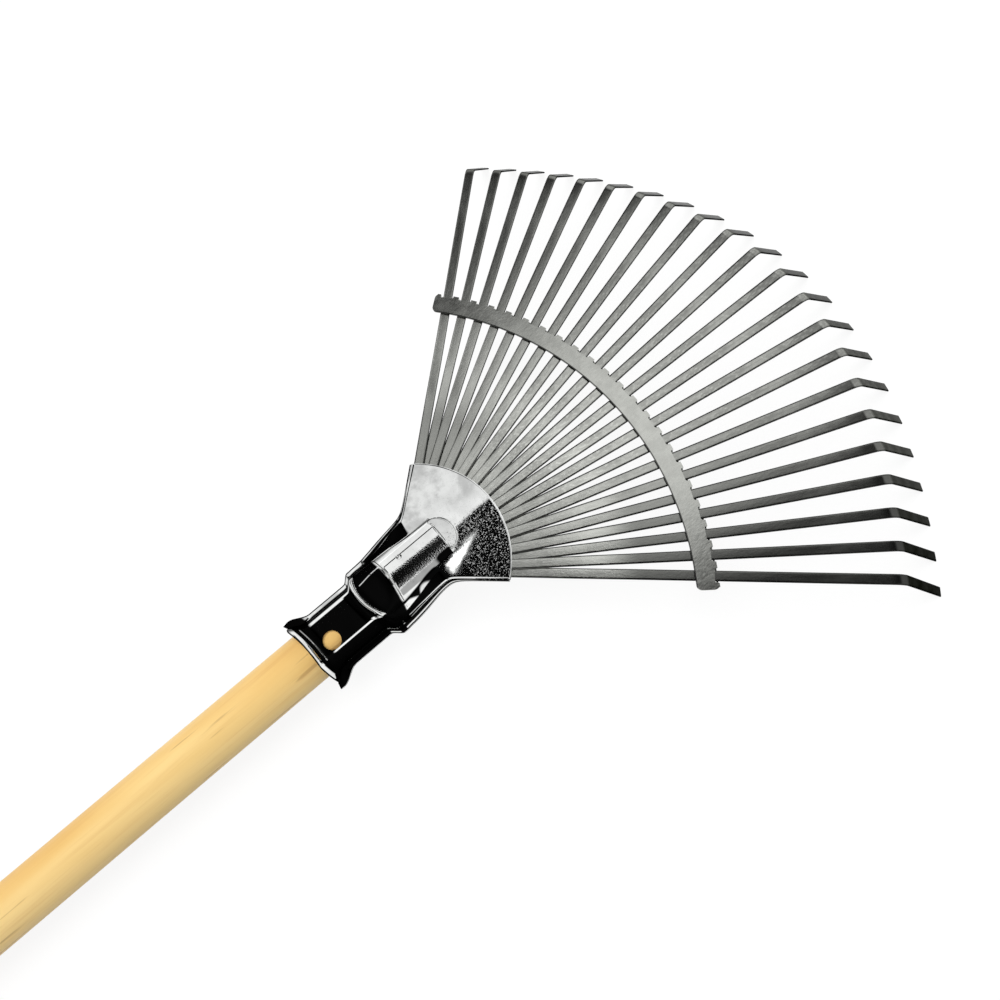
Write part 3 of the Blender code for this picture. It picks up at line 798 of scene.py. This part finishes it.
def front_height(x, y, half_width, crease):
    """Height of the front shell's outside at station x."""
    true_x = x - station_bow(x, y)
    seam = seam_height(true_x)
    tube = tube_radius(x) * socket_height(y / half_width) + hem(x)
    if x <= BEAD_LAST_X:
        tube += bead(true_x, y)
    tube = max(tube, SEAM_RISE)
    if x <= NECK_BACK_X:
        return seam + tube
    rise = body_rise(y, half_width, PLATE_TOP_Z - seam, plate_share(x))
    if y < crease - SAME_PLACE:
        rise = max(rise, ridge_height(x, y) - seam)
    step = LIP_STEP * (1 - smooth_step(x, LIP_X, LIP_X + LIP_LENGTH))
    step *= 1 - smooth_step(y, RIDGE_RADIUS * LIP_SIDE_START, RIDGE_RADIUS)
    height = seam + mix(tube, rise + step, smooth_step(x, NECK_BACK_X, LIP_X))
    return max(height, pad_height(true_x, y))


def shell_stations():
    stations = [SOCKET_BACK_X]
    for end, steps in STRETCHES:
        stations += spread(stations[-1], end, steps)
    return stations


def section_distances(half_width, share, crease):
    """Distances of a half section's points from the middle, from its foot to its crest."""
    side_top = half_width - SIDE_ROUNDING
    foot = min(crease, side_top)
    arch = [1.0] + [1 - ROUND_SIDE_SHARE * t ** ROUND_SIDE_SPACING
                    for t in spread(0.0, 1.0, ROUND_SIDE_STEPS)]
    arch += spread(1 - ROUND_SIDE_SHARE, 0.0, ROUND_TOP_STEPS)
    plate = [half_width] + [half_width - SIDE_ROUNDING * math.sin(a) ** 2
                            for a in spread(0.0, math.pi / 2, FLAT_SIDE_STEPS)]
    plate += spread(side_top, foot, FLAT_PLATE_STEPS) + spread(foot, 0.0, FLAT_RIDGE_STEPS)
    return [mix(half_width * a, p, share) for a, p in zip(arch, plate)]


def dimple(x, y):
    """Depth of the two small round dents."""
    depth = 0.0
    for centre_x, centre_y in DIMPLES:
        away = math.hypot(x - centre_x, y - centre_y) / DIMPLE_RADIUS
        depth += DIMPLE_DEPTH * (1 - smooth_step(away, 0.0, 1.0))
    return depth


def polished(x, y):
    """Whether a place is in the smooth wedge-shaped facet on the plate's right half."""
    inside = [(b[0] - a[0]) * (y - a[1]) - (b[1] - a[1]) * (x - a[0])
              for a, b in zip(FACET, FACET[1:] + FACET[:1])]
    return 1.0 if min(inside) > 0 else 0.0


def bell(offset, width):
    return math.exp(-(offset / width) ** 2)


def painted_shade_front(x, signed_y, half_width, crease):
    """How far painted shade, for dark reflections and shade, covers the side walls, socket, neck,
    ridge's foot and collar.
    """
    right = signed_y < 0
    y = abs(signed_y)
    # Painted shade and dark reflections on the side walls beside the ridge
    past_neck = smooth_step(x, *SHADE_NECK_X)
    wall = past_neck * (1 - smooth_step(x, *SHADE_WALL_END_X))
    start = crease + (SHADE_GAP_RIGHT if right else SHADE_GAP_LEFT)
    dark = smooth_step(y, start, start + SHADE_FADE) * wall
    if right:
        # Painted shade line along the right crease
        dark = max(dark, wall * bell(y - crease, CREASE_LINE_WIDTH))
    # Painted shade on the socket's sloping sides
    from_end = x - SOCKET_BACK_X
    socket = (1 - past_neck) * smooth_step(from_end, *SHADE_SOCKET_START)
    dark = max(dark, socket * smooth_step(y / half_width, *SHADE_SOCKET_SHARE))
    dark *= smooth_step(half_width - y, *SHADE_BEFORE_RIM)
    # Painted dark reflection over the neck between bead and lip, with a narrow painted highlight
    # line left bright
    from_bead = x - BEAD_X - y * y / (2 * BEAD_BOW_RADIUS)
    neck = smooth_step(from_bead - BEAD_HALF_LENGTH, *SHADE_AFTER_BEAD)
    neck *= smooth_step(LIP_X - x, *SHADE_BEFORE_LIP)
    neck *= 1 - NECK_GLINT * bell(signed_y - NECK_GLINT_Y, NECK_GLINT_WIDTH)
    # Painted dark reflection over the shoulder's top before the bead
    shoulder = smooth_step(-from_bead - BEAD_HALF_LENGTH, *SHADE_BEFORE_BEAD)
    shoulder *= smooth_step(x - SHOULDER_START_X, *SHADE_SHOULDER_START)
    shoulder *= 1 - smooth_step(y / half_width, *SHADE_SHOULDER_SHARE)
    dark = max(dark, neck, shoulder)
    # Painted dark reflection on the ridge's right foot near its end
    if right and x < RIDGE_END_X:
        foot = smooth_step(x, *SHADE_FOOT_X) * smooth_step(y, *SHADE_FOOT_Y)
        dark = max(dark, foot * (1 - smooth_step(y - crease, 0.0, SHADE_FOOT_FADE)))
    # Painted shade in the flaring collar at the socket's end, with a narrow painted highlight line
    # left bright
    collar = smooth_step(from_end, *SHADE_COLLAR_START)
    collar *= 1 - smooth_step(from_end, *SHADE_COLLAR_END)
    collar *= 1 - bell(from_end - COLLAR_GLINT_X, COLLAR_GLINT_WIDTH)
    # Painted shade on the socket's end face
    end_face = 1 - smooth_step(from_end, *SHADE_END_FACE)
    return min(max(dark, collar, end_face), 1.0)


def shell_half(x, front):
    """Half section at station x: distance from the middle, height, and marks of painted shade on
    both sides.
    """
    after_lip = x > LIP_X + LIP_LENGTH / 2
    share = plate_share(x)
    if after_lip:
        half_width = where_station_meets(plate_half_width, x)
        rim = where_station_meets(plate_rim, x)
    else:
        half_width = tube_radius(x)
        rim = half_width + tube_flange_width(x)
    crease = ridge_crease(min(x, RIDGE_END_X), half_width, share)
    layout = smooth_step(x, NECK_BACK_X, LIP_X)
    points = [(y, False) for y in [rim] + spread(rim, half_width, FLANGE_STEPS)[:-1]]
    points += [(y, True) for y in section_distances(half_width, layout, crease)]
    half = []
    for y, on_body in points:
        seam = seam_height(x - station_bow(x, y))
        if front and on_body:
            z = front_height(x, y, half_width, crease)
            marks = [painted_shade_front(x, side * y, half_width, crease) for side in (1, -1)]
        elif front:
            width = rim - half_width
            outward = (y - half_width) / width
            rounding = FLANGE_ROUNDING * width * (1 - 2 * outward ** FLANGE_CURVE)
            z = seam + SEAM_RISE + rounding
            # Painted shade along the flange's inner half where it meets the body, on the left only
            # near the lip, and at its outer rim and flared end
            groove = 1 - smooth_step(outward, *GROOVE_END)
            border = max(smooth_step(outward, *RIM_SHADE),
                         smooth_step(rim_flare(x), *FLARE_SHADE))
            marks = (max(groove * smooth_step(x, *LEFT_GROOVE_X), border), max(groove, border))
        elif on_body:
            z = seam - body_rise(y, half_width, seam - back_bottom(x), share)
            # The back shell is half near black all over: painted shade on the underside
            marks = (BACK_SHELL_SHADE, BACK_SHELL_SHADE)
        else:
            z = seam - SEAM_RISE
            marks = (0.0, 0.0)
        half.append((y, z, *marks))
    return half


def make_shell(name, front, material, node):
    """One pressed shell, its sections the same to both sides and then skewed and cut back left."""
    rows = []
    painted_shade = []
    polish = []
    for x in shell_stations():
        half = shell_half(x, front)
        full = [(y, z, left) for y, z, left, _ in half]
        full += [(-y, z, right) for y, z, _, right in reversed(half[:-1])]
        if front:
            full = [(y, z - dimple(x - station_bow(x, y), y), mark) for y, z, mark in full]
        else:
            full = full[::-1]
        pull = 1 - LEFT_FIN_CUT * end_flare(x)
        skew = END_SKEW * (1 - smooth_step(x, NECK_BACK_X, LIP_X))
        rows.append([(HEAD_X + x - station_bow(x, y) - skew * y, y * pull if y > 0 else y, z)
                     for y, z, _ in full])
        painted_shade.append([mark for _, _, mark in full])
        polish.append([polished(x - station_bow(x, y), y) for y, _, _ in full])
    mesh = grid_mesh(name, rows, {"painted_shade": painted_shade, "polish": polish}, False, False)
    obj = add_piece(name, mesh, material, "head", node, smooth_degrees=55)
    solid = obj.modifiers.new("sheet", "SOLIDIFY")
    solid.thickness = WALL
    solid.offset = -1
    return obj


def cut_nail_hole(shell):
    bm = bmesh.new()
    turn = Matrix.Rotation(NAIL_HOLE_TURN, 4, "X")
    lift = Matrix.Translation((0, 0, SOCKET_RADIUS))
    place = Matrix.Translation((HEAD_X + NAIL_HOLE_X, 0, 0)) @ turn @ lift
    bmesh.ops.create_cone(bm, cap_ends=True, segments=NAIL_HOLE_SIDES, radius1=NAIL_HOLE_RADIUS,
                          radius2=NAIL_HOLE_RADIUS, depth=NAIL_CUT_DEPTH, matrix=place)
    mesh = bpy.data.meshes.new("nail_hole_cutter")
    bm.to_mesh(mesh)
    bm.free()
    cutter = bpy.data.objects.new("nail_hole_cutter", mesh)
    bpy.context.scene.collection.objects.link(cutter)
    cut = shell.modifiers.new("nail_hole", "BOOLEAN")
    cut.operation = "DIFFERENCE"
    cut.object = cutter
    settle(shell)
    bpy.data.objects.remove(cutter)


def settle(obj):
    """Makes an object's modifiers part of its mesh."""
    graph = bpy.context.evaluated_depsgraph_get()
    mesh = bpy.data.meshes.new_from_object(obj.evaluated_get(graph), depsgraph=graph)
    obj.modifiers.clear()
    obj.data = mesh


# Tines


def tine_angle(index):
    place = index - (TINE_COUNT - 1) / 2
    share = place / ((TINE_COUNT - 1) / 2)
    return place * TINE_PITCH * (1 - OUTER_CLOSING * share ** 2)


def tine_line(bend_radius, layer):
    """Side view of a tine's middle: (distance along, height) pairs."""
    points = [(r, layer) for r in [TINE_ROOT_RADIUS] + spread(TINE_ROOT_RADIUS,
                                                             LAYER_MERGE_START, 6)]
    for r in spread(LAYER_MERGE_START, LAYER_MERGE_END, 8):
        points.append((r, layer * (1 - smooth_step(r, LAYER_MERGE_START, LAYER_MERGE_END))))
    fall = math.atan2(TIP_DROP, TIP_REACH)
    tangent = TIP_BEND_RADIUS * math.tan(fall / 2)
    start = bend_radius - tangent
    points += [(r, 0.0) for r in spread(LAYER_MERGE_END, start, 12)]
    for turned in spread(0.0, fall, TIP_BEND_STEPS):
        points.append((start + TIP_BEND_RADIUS * math.sin(turned),
                       -TIP_BEND_RADIUS * (1 - math.cos(turned))))
    along, height = points[-1]
    points += zip(spread(along, bend_radius + TIP_REACH, 5), spread(height, -TIP_DROP, 5))
    return points


def strip_section():
    """Section of a rolled strip with softened edges, and its edge mark."""
    height = TINE_THICKNESS / 2
    quarter = [(TINE_WIDTH / 2 - inset, height * share) for inset, share, _ in STRIP_EDGE]
    quarter_marks = [mark for _, _, mark in STRIP_EDGE]
    upper = [(-y, z) for y, z in quarter[::-1]] + [(0.0, height)] + quarter
    upper_marks = quarter_marks[::-1] + [0.0] + quarter_marks
    lower = [(y, -z) for y, z in upper[::-1]]
    return upper + lower, upper_marks + upper_marks[::-1]


def make_tine(index, material):
    angle = tine_angle(index)
    layer = LAYER_OFFSET if index % 2 else -LAYER_OFFSET
    side = smooth_step(abs(angle), 0, FAN_HALF_ANGLE)
    line = tine_line(mix(BEND_RADIUS_MIDDLE, BEND_RADIUS_SIDE, side), layer)
    section, section_marks = strip_section()
    rows = []
    for i, point in enumerate(line):
        before = Vector(line[max(i - 1, 0)])
        after = Vector(line[min(i + 1, len(line) - 1)])
        along = (after - before).normalized()
        rows.append([(point[0] - along.y * z, y, point[1] + along.x * z) for y, z in section])
    name = f"tine_strip_{index + 1:02d}"
    node = f"tine_{index + 1:02d}"
    mesh = grid_mesh(name, rows, {"edge": [section_marks] * len(rows)}, True, True)
    place = Matrix.Translation((HEAD_X, 0, FAN_HEIGHT)) @ Matrix.Rotation(angle, 4, "Z")
    add_piece(name, mesh, material, node, node, smooth_degrees=50, place=place)


# Spreader bar


def bar_radius_at(angle, radius):
    along = BAR_CENTRE_X * math.cos(angle)
    across = BAR_CENTRE_X * math.sin(angle)
    return along + math.sqrt(radius ** 2 - across ** 2)


def bar_half_angle(margin):
    reach = bar_radius_at(FAN_HALF_ANGLE, BAR_OUTER_RADIUS)
    x = reach * math.cos(FAN_HALF_ANGLE) - BAR_CENTRE_X
    return math.atan2(reach * math.sin(FAN_HALF_ANGLE), x) + margin / BAR_OUTER_RADIUS


def curved_band(inner, outer, low, high, half_angle):
    bm = bmesh.new()
    start = Matrix.Rotation(-half_angle, 4, "Z")
    profile = [(inner, low), (outer, low), (outer, high), (inner, high)]
    face = bm.faces.new([bm.verts.new(start @ Vector((r, 0, z))) for r, z in profile])
    bmesh.ops.spin(bm, geom=[face], cent=(0, 0, 0), axis=(0, 0, 1), angle=2 * half_angle,
                   steps=4 * TINE_COUNT)
    bmesh.ops.remove_doubles(bm, verts=bm.verts, dist=SAME_PLACE)
    return bm


def helper(name, bm, place):
    bmesh.ops.recalc_face_normals(bm, faces=bm.faces)
    mesh = bpy.data.meshes.new(name)
    bm.to_mesh(mesh)
    bm.free()
    obj = bpy.data.objects.new(name, mesh)
    obj.location = place
    bpy.context.scene.collection.objects.link(obj)
    return obj


def slot_blocks():
    floor = FAN_HEIGHT - TINE_THICKNESS / 2 - SLOT_FLOOR_GAP
    ceiling = BAR_BOTTOM_Z + 2 * BAR_THICKNESS
    width = TINE_WIDTH + 2 * SLOT_SIDE_GAP
    bm = bmesh.new()
    for index in range(TINE_COUNT):
        angle = tine_angle(index)
        outer = bar_radius_at(angle, BAR_OUTER_RADIUS)
        inner = outer - SLOT_NOTCH_DEPTH
        outer += 2 * BAR_THICKNESS
        size = Matrix.Diagonal((outer - inner, width, ceiling - floor, 1))
        middle = Matrix.Translation(((inner + outer) / 2, 0, (floor + ceiling) / 2))
        made = bmesh.ops.create_cube(bm, size=1.0, matrix=size)
        corners = [e for e in dict.fromkeys(e for v in made["verts"] for e in v.link_edges)
                   if abs(e.verts[0].co.z - e.verts[1].co.z) > (ceiling - floor) / 2
                   and e.verts[0].co.x < 0]
        rounded = bmesh.ops.bevel(bm, geom=corners, offset=SLOT_CORNER, segments=5,
                                  profile=0.5, affect="EDGES")
        kept = [v for v in made["verts"] if v.is_valid]
        turn = Matrix.Rotation(angle, 4, "Z")
        bmesh.ops.transform(bm, matrix=turn @ middle,
                            verts=list(dict.fromkeys(kept + rounded["verts"])))
    return bm


def make_bar(material):
    top = BAR_BOTTOM_Z + BAR_THICKNESS
    place = (HEAD_X + BAR_CENTRE_X, 0, 0)
    half = bar_half_angle(BAR_END_MARGIN)
    bm = curved_band(BAR_INNER_RADIUS, BAR_OUTER_RADIUS, BAR_BOTTOM_Z, top, half)
    corners = []
    for edge in bm.edges:
        a, b = edge.verts
        upright = abs(a.co.z - b.co.z) > BAR_THICKNESS / 2
        if upright and abs(math.atan2(a.co.y, a.co.x)) > half - BAR_END_TURN:
            corners.append(edge)
    bmesh.ops.bevel(bm, geom=corners, offset=BAR_END_ROUNDING, segments=8, profile=0.5,
                    affect="EDGES")
    bar = helper("spreader_strip", bm, place)
    folded = helper("folded_edge", curved_band(
        BAR_OUTER_RADIUS - BAR_THICKNESS, BAR_OUTER_RADIUS, BAR_BOTTOM_Z - BAR_FLANGE_DROP, top,
        bar_half_angle(FLANGE_END_MARGIN)), place)
    slots = helper("slot_blocks", slot_blocks(), (HEAD_X, 0, 0))
    for operation, other in (("UNION", folded), ("DIFFERENCE", slots)):
        step = bar.modifiers.new(operation.lower(), "BOOLEAN")
        step.operation = operation
        step.object = other
    settle(bar)
    bpy.data.objects.remove(folded)
    bpy.data.objects.remove(slots)
    bevel = bar.modifiers.new("soft_edges", "BEVEL")
    bevel.width = BAR_EDGE_RADIUS
    bevel.segments = 2
    bevel.limit_method = "ANGLE"
    bevel.angle_limit = BAR_EDGE_ANGLE
    weighted = bar.modifiers.new("flat_faces", "WEIGHTED_NORMAL")
    weighted.keep_sharp = True
    mesh = bar.data
    mesh.materials.clear()
    mesh.materials.append(material)
    mesh.shade_smooth()
    mesh.set_sharp_from_angle(angle=BAR_SMOOTH_ANGLE)
    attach(bar, "spreader")
    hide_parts("spreader_bar")


# Stage


def make_floor():
    """A plain white floor under the rake."""
    mesh = bpy.data.meshes.new("floor")
    corners = [(-1, -1), (1, -1), (1, 1), (-1, 1)]
    mesh.from_pydata([(FLOOR_REACH * x, FLOOR_REACH * y, FLOOR_Z) for x, y in corners], [],
                     [(0, 1, 2, 3)])
    floor = bpy.data.objects.new("floor", mesh)
    bpy.context.scene.collection.objects.link(floor)
    material, n, shader, _ = new_material("floor_paint")
    rays = n.add("LightPath")
    seen = n.math("MAXIMUM", rays.outputs["Is Camera Ray"], rays.outputs["Is Glossy Ray"])
    seen = n.math("MAXIMUM", seen, rays.outputs["Is Transmission Ray"])
    n.put(shader, Base_Color=grey(FLOOR_GREY), Roughness=0.9, Specular_IOR_Level=0.1,
          Emission_Color=grey(1.0), Emission_Strength=n.times(seen, FLOOR_GLOW))
    mesh.materials.append(material)


def make_world():
    """Soft studio light by direction, which only reflections show; the camera sees plain white."""
    world = bpy.data.worlds.new("studio")
    bpy.context.scene.world = world
    world.use_nodes = True
    n = Nodes(world.node_tree)
    x, y, z = n.split(n.add("TexCoord").outputs["Generated"])
    light = n.plus(SKY_LEVEL, n.times(n.step(z, 0.0, HORIZON_HEIGHT, 1.0, 0.0), HORIZON_GLOW))
    for strength, x_range, y_range, soft_x, soft_y, top in SKY_PANELS:
        panel = n.times(n.between(x, *x_range, soft_x), n.between(y, *y_range, soft_y))
        below_top = n.step(z, top - PANEL_TOP_SOFTNESS, top + PANEL_TOP_SOFTNESS, 1.0, 0.0)
        light = n.plus(light, n.times(n.times(panel, below_top), strength))
    off_x = n.math("DIVIDE", n.minus(x, GLOW_X), GLOW_REACH_X)
    off_y = n.math("MAXIMUM", n.math("DIVIDE", n.minus(y, GLOW_Y), GLOW_REACH_LEFT),
                   n.math("DIVIDE", n.minus(GLOW_Y, y), GLOW_REACH_RIGHT))
    distance = n.plus(n.times(off_x, off_x), n.times(off_y, off_y))
    glow = n.step(distance, 0.0, 1.0, GLOW_STRENGTH, GLOW_OUTSIDE)
    light = n.plus(light, n.times(glow, n.step(x, *GLOW_START_X)))
    away = n.math("ABSOLUTE", n.minus(y, n.plus(n.times(x, WEDGE_SLOPE), WEDGE_Y)))
    half_width = n.times(n.minus(WEDGE_X[1], x), WEDGE_SPREAD)
    wedge = n.times(n.math("LESS_THAN", away, half_width), n.between(x, *WEDGE_X, WEDGE_SOFTNESS))
    light = n.plus(light, n.times(wedge, WEDGE_STRENGTH))
    seen = n.add("LightPath").outputs["Is Camera Ray"]
    light = n.plus(n.times(light, n.minus(1.0, seen)), seen)
    n.put(world.node_tree.nodes["Background"], Color=grey(1.0), Strength=light)


def make_lamp():
    """A wide soft lamp above the left side; polished metal shows the panels instead of it."""
    data = bpy.data.lights.new("soft_lamp", "SUN")
    data.energy = SUN_STRENGTH
    data.angle = SUN_WIDTH
    lamp = bpy.data.objects.new("soft_lamp", data)
    lamp.rotation_euler = Vector(SUN_DIRECTION).to_track_quat("Z", "Y").to_euler()
    lamp.visible_glossy = False
    bpy.context.scene.collection.objects.link(lamp)


def make_camera():
    data = bpy.data.cameras.new("camera")
    data.lens = CAMERA_LENS
    data.sensor_width = CAMERA_SENSOR
    data.sensor_fit = "AUTO"
    data.clip_start = CAMERA_NEAREST
    data.clip_end = CAMERA_FARTHEST
    camera = bpy.data.objects.new("camera", data)
    right, down, ahead = Vector(CAMERA_RIGHT), Vector(CAMERA_DOWN), Vector(CAMERA_AHEAD)
    turn = Matrix((right, -down, -ahead)).transposed()
    camera.matrix_world = Matrix.Translation(
        Vector(CAMERA_PLACE) + Vector((HEAD_X, 0, 0))) @ turn.to_4x4()
    bpy.context.scene.collection.objects.link(camera)
    bpy.context.scene.camera = camera


def main():
    make_handle(wood_material())
    front = make_shell("front_pressing", True,
                       chrome_material("bright_plating", FRONT_PLATING, FRONT_SHADE_BLACK),
                       "front_shell")
    cut_nail_hole(front)
    make_shell("back_pressing", False,
               chrome_material("shaded_back_plating", BACK_SHADED_PLATING, BACK_SHADE_BLACK), "back_shell")
    make_bar(galvanised_material("bar_zinc", (BAR_GREY,), BAR_SHADE, BAR_SPANGLE, drawn=1.0,
                                 rough=BAR_ROUGHNESS, rim=BAR_RIM))
    for index in range(TINE_COUNT):
        make_tine(index, tine_material(index))
    make_floor()
    make_world()
    make_lamp()
    make_camera()
    bpy.context.scene.view_settings.view_transform = "Standard"


main()
